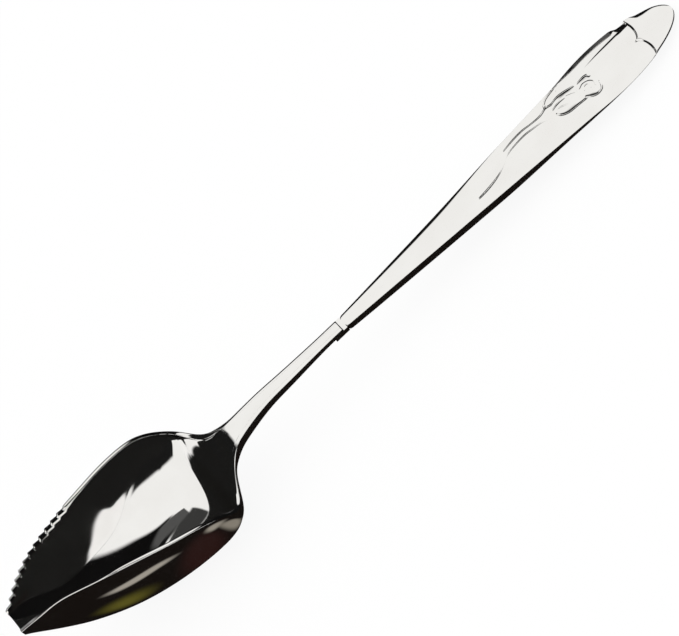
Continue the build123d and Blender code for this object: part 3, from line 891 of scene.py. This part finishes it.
def core_surface(sizes, lines):
    """Grid of the cement core. Each row is a loop round one section: the underside, as deep as a
    power of the height of a half circle, and the flat top with a slot in it, which is as deep as the
    tang lies and as wide as the tang, and closes past the tang's end."""
    tang_steps, end_steps, arc_steps = 40, 80, 41
    slack = 0.01 * MM
    low_box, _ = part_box("handle_filler")
    first = (float(low_box[0]) - lines["mouth_x"]) / cos(lines["lean"])
    last = sizes.handle_length - 2 * sizes.shell_wall - sizes.end_tuck
    along = np.concatenate((
        np.linspace(max(first, sizes.mouth_radius), sizes.tang_length, tang_steps),
        np.linspace(sizes.tang_length + slack, last, end_steps),
    ))
    half = outline(sizes, lines, along)
    _, tuck, low = tucked_edge(sizes, lines, along)
    room = half - tuck - sizes.shell_wall - slack
    room = np.maximum(room, sizes.tang_width / 2 + slack)[:, None]
    top = np.full_like(room, -sizes.front_skirt)
    depth = back_depth(sizes, lines, along) - sizes.shell_wall - slack
    depth = np.maximum(depth, sizes.front_skirt + slack)[:, None]
    turn = np.linspace(0, pi, arc_steps)[None, :]
    across = room * np.cos(turn)
    above = top - (depth - sizes.front_skirt) * np.clip(np.sin(turn), 0, 1) ** back_power(along)[:, None]
    tang_under = sizes.tang_drop + sizes.tang_thickness
    slot = np.where(along <= sizes.tang_length, tang_under, sizes.front_skirt)[:, None]
    slot = np.minimum(slot, depth - slack)
    side = np.full_like(room, sizes.tang_width / 2)
    across = np.hstack((across, -side, -side, side, side))
    above = np.hstack((above, top, -slot, -slot, top))
    points = along_handle(lines, low[:, None], across, above)
    count, loop = across.shape
    return points, capped(count, loop)


class SPOON_OT_core(Operator):
    """Make the cement core of the handle"""

    bl_idname = "spoon.core"
    bl_label = "Cement core"

    def execute(self, context):
        core = made_piece(context, "handle_core", core_surface, HANDLE_CREASE, cement)
        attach(core, "root")
        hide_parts("handle_filler")
        return {"FINISHED"}


class SPOON_OT_collar(Operator):
    """Finish the collar, whose solid keeps its shape"""

    bl_idname = "spoon.collar"
    bl_label = "Collar"

    def execute(self, context):
        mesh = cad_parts["collar"].data
        mesh.materials.clear()
        mesh.materials.append(polished_steel(context.scene.spoon_colours))
        return {"FINISHED"}


def white_floor(colours):
    """White paper to the camera, with a trace of shadow; the metal sees a dark table instead, with a
    few paler things on it, each a soft-edged ellipse."""
    glow_share = 0.9
    material, tree = empty_material("white_paper_floor")
    rays = node(tree, "ShaderNodeLightPath")
    paper = node(tree, "ShaderNodeBsdfDiffuse", {"Color": linear(colours.floor)})
    glow = node(tree, "ShaderNodeEmission", {"Color": linear(colours.floor), "Strength": 1.0})
    seen = node(tree, "ShaderNodeMixShader", {0: glow_share, 1: paper.outputs[0], 2: glow.outputs[0]})
    place = node(tree, "ShaderNodeTexCoord").outputs["Object"]
    top = linear(colours.table)
    for x, y, half_x, half_y, turn, fade, code in TABLE_PATCHES:
        spot = node(
            tree, "ShaderNodeMapping",
            {
                "Vector": place, "Location": (x * MM, y * MM, 0), "Rotation": (0, 0, radians(turn)),
                "Scale": (half_x * MM, half_y * MM, 1),
            },
            vector_type="TEXTURE",
        )
        away = node(tree, "ShaderNodeVectorMath", {0: spot.outputs["Vector"]}, operation="LENGTH")
        inside = node(
            tree, "ShaderNodeMapRange",
            {
                "Value": away.outputs["Value"], "From Min": 1 - fade, "From Max": 1.0,
                "To Min": 1.0, "To Max": 0.0,
            },
            interpolation_type="SMOOTHSTEP",
        )
        mix = node(
            tree, "ShaderNodeMix",
            {0: inside.outputs["Result"], 6: top, 7: linear(srgb(code))},
            data_type="RGBA",
        )
        top = mix.outputs[2]
    table = node(tree, "ShaderNodeEmission", {"Color": top, "Strength": 1.0})
    mixed = node(
        tree, "ShaderNodeMixShader",
        {0: rays.outputs["Is Glossy Ray"], 1: seen.outputs[0], 2: table.outputs[0]},
    )
    node(tree, "ShaderNodeOutputMaterial", {"Surface": mixed.outputs[0]})
    return material


def on_card(tree, turn, rise, card):
    """How far a direction lies on a card of the tent: 1 inside its reach of turn and rise, 0 outside,
    with a soft edge. A card is its middle, its half sizes, its lean and its softness in degrees."""
    turn_at, rise_at, half_turn, half_rise, lean, soft = (radians(value) for value in card)
    beside = node(tree, "ShaderNodeMath", {0: turn, 1: turn_at}, operation="SUBTRACT")
    round_trip = node(tree, "ShaderNodeMath", {0: beside.outputs[0], 1: pi, 2: -pi}, operation="WRAP")
    above = node(tree, "ShaderNodeMath", {0: rise, 1: rise_at}, operation="SUBTRACT")
    away = node(tree, "ShaderNodeCombineXYZ", {"X": round_trip.outputs[0], "Y": above.outputs[0]})
    turned = node(
        tree, "ShaderNodeVectorRotate", {"Vector": away.outputs[0], "Angle": -lean}, rotation_type="Z_AXIS"
    )
    size = node(tree, "ShaderNodeVectorMath", {0: turned.outputs[0]}, operation="ABSOLUTE")
    axes = node(tree, "ShaderNodeSeparateXYZ", {"Vector": size.outputs[0]})
    factors = []
    for axis, half in (("X", half_turn), ("Y", half_rise)):
        edge = node(
            tree, "ShaderNodeMapRange",
            {
                "Value": axes.outputs[axis], "From Min": half - soft, "From Max": half + soft,
                "To Min": 1.0, "To Max": 0.0,
            },
            interpolation_type="SMOOTHSTEP",
        )
        factors.append(edge.outputs["Result"])
    return node(tree, "ShaderNodeMath", {0: factors[0], 1: factors[1]}, operation="MULTIPLY").outputs[0]


def studio():
    """A white tent with dark cards that only the metal sees. What the metal mirrors twice, as in the
    hollow of the bowl, is dark, except that light mirrored exactly twice sees the windows."""
    world = bpy.data.worlds.new("studio")
    world.use_nodes = True
    tree = world.node_tree
    tree.nodes.clear()
    way = node(tree, "ShaderNodeTexCoord").outputs["Generated"]
    axes = node(tree, "ShaderNodeSeparateXYZ", {"Vector": way})
    turned = node(tree, "ShaderNodeMath", {0: axes.outputs["Y"], 1: axes.outputs["X"]}, operation="ARCTAN2")
    risen = node(tree, "ShaderNodeMath", {0: axes.outputs["Z"]}, operation="ARCSINE")
    turn, rise = turned.outputs[0], risen.outputs[0]
    shade = grey(TENT_LEVEL)
    for *card, level in DARK_CARDS:
        factor = on_card(tree, turn, rise, card)
        mixed = node(tree, "ShaderNodeMix", {0: factor, 6: shade, 7: grey(level)}, data_type="RGBA")
        shade = mixed.outputs[2]
    rays = node(tree, "ShaderNodeLightPath")
    # Glossy Depth counts the mirrors on the way, so these lie between one and two, and two and three
    past_one, past_two = 1.5, 2.5
    count = rays.outputs["Glossy Depth"]
    again = node(tree, "ShaderNodeMath", {0: count, 1: past_one}, operation="GREATER_THAN")
    only_twice = node(tree, "ShaderNodeMath", {0: count, 1: past_two}, operation="LESS_THAN")
    hollow = grey(TWICE_LEVEL)
    for cards in WINDOWS:
        factor = only_twice.outputs[0]
        for card in cards:
            inside = on_card(tree, turn, rise, card)
            factor = node(tree, "ShaderNodeMath", {0: inside, 1: factor}, operation="MULTIPLY").outputs[0]
        mixed = node(tree, "ShaderNodeMix", {0: factor, 6: hollow, 7: WINDOW_LEVEL}, data_type="RGBA")
        hollow = mixed.outputs[2]
    deep = node(tree, "ShaderNodeMix", {0: again.outputs[0], 6: shade, 7: hollow}, data_type="RGBA")
    light = node(
        tree, "ShaderNodeMix",
        {0: rays.outputs["Is Glossy Ray"], 6: grey(1.0), 7: deep.outputs[2]},
        data_type="RGBA",
    )
    tent = node(tree, "ShaderNodeBackground", {"Color": light.outputs[2], "Strength": 1.0})
    node(tree, "ShaderNodeOutputWorld", {"Surface": tent.outputs[0]})
    return world


class SPOON_OT_stage(Operator):
    """Make the floor, the light and the camera"""

    bl_idname = "spoon.stage"
    bl_label = "Stage"

    def execute(self, context):
        scene = context.scene
        sizes, colours = scene.spoon_sizes, scene.spoon_colours
        lines = spoon_lines(sizes)
        scene.view_settings.view_transform = "Standard"
        reach, clip_margin = 3.0, 20
        mesh = bpy.data.meshes.new("floor")
        corners = [(-reach, -reach, 0), (reach, -reach, 0), (reach, reach, 0), (-reach, reach, 0)]
        mesh.from_pydata(corners, [], [(0, 1, 2, 3)])
        mesh.materials.append(white_floor(colours))
        floor = bpy.data.objects.new("floor", mesh)
        scene.collection.objects.link(floor)

        scene.world = studio()

        # The camera looks across the spoon: the line from the tip to the handle's end lies in the
        # picture plane, turned so that it runs up to the right
        tip = np.array((lines["tip_x"], 0.0, TIP_HEIGHT))
        end = along_handle(lines, sizes.handle_length, 0.0, -END_DROP)
        line = (end - tip) / np.linalg.norm(end - tip)
        above = np.array((-line[2], 0.0, line[0]))
        side = np.array((0.0, 1.0, 0.0))
        tilt = radians(CAMERA_TILT)
        rise = cos(tilt) * side + sin(tilt) * above
        back = cos(tilt) * above - sin(tilt) * side
        roll = radians(CAMERA_ROLL)
        right = cos(roll) * line - sin(roll) * rise
        up = sin(roll) * line + cos(roll) * rise
        frame_width = PHOTO_WIDTH * PIXEL_SPAN
        centre = tip + AIM_ALONG * line + AIM_BESIDE * rise
        lens = bpy.data.cameras.new("camera")
        lens.sensor_fit = "HORIZONTAL"
        lens.sensor_width = SENSOR_WIDTH
        lens.lens = FOCAL_LENGTH
        distance = frame_width * lens.lens / lens.sensor_width
        camera = bpy.data.objects.new("camera", lens)
        turn = Matrix((right, up, back)).transposed().to_4x4()
        camera.matrix_world = Matrix.Translation(Vector(centre + back * distance)) @ turn
        lens.clip_start = distance / clip_margin
        lens.clip_end = distance * clip_margin
        scene.collection.objects.link(camera)
        scene.camera = camera
        return {"FINISHED"}


class SPOON_PT_panel(Panel):
    """Lists the pieces of the spoon"""

    bl_idname = "SPOON_PT_panel"
    bl_label = "Grapefruit spoon"
    bl_space_type = "VIEW_3D"
    bl_region_type = "UI"
    bl_category = "Spoon"

    def draw(self, context):
        for maker in MAKERS:
            self.layout.operator(maker.bl_idname)
        for group in (context.scene.spoon_sizes, context.scene.spoon_colours):
            for name in group.__annotations__:
                self.layout.prop(group, name)


MAKERS = (SPOON_OT_bowl, SPOON_OT_front, SPOON_OT_back, SPOON_OT_core, SPOON_OT_collar, SPOON_OT_stage)
CLASSES = (SpoonSizes, SpoonColours, *MAKERS, SPOON_PT_panel)


def register():
    for item in CLASSES:
        bpy.utils.register_class(item)
    bpy.types.Scene.spoon_sizes = PointerProperty(type=SpoonSizes)
    bpy.types.Scene.spoon_colours = PointerProperty(type=SpoonColours)


def unregister():
    del bpy.types.Scene.spoon_colours
    del bpy.types.Scene.spoon_sizes
    for item in reversed(CLASSES):
        bpy.utils.unregister_class(item)


def main():
    """Register the add-on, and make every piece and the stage."""
    register()
    bpy.ops.spoon.bowl()
    bpy.ops.spoon.front()
    bpy.ops.spoon.back()
    bpy.ops.spoon.core()
    bpy.ops.spoon.collar()
    bpy.ops.spoon.stage()


if __name__ == "__main__":
    main()
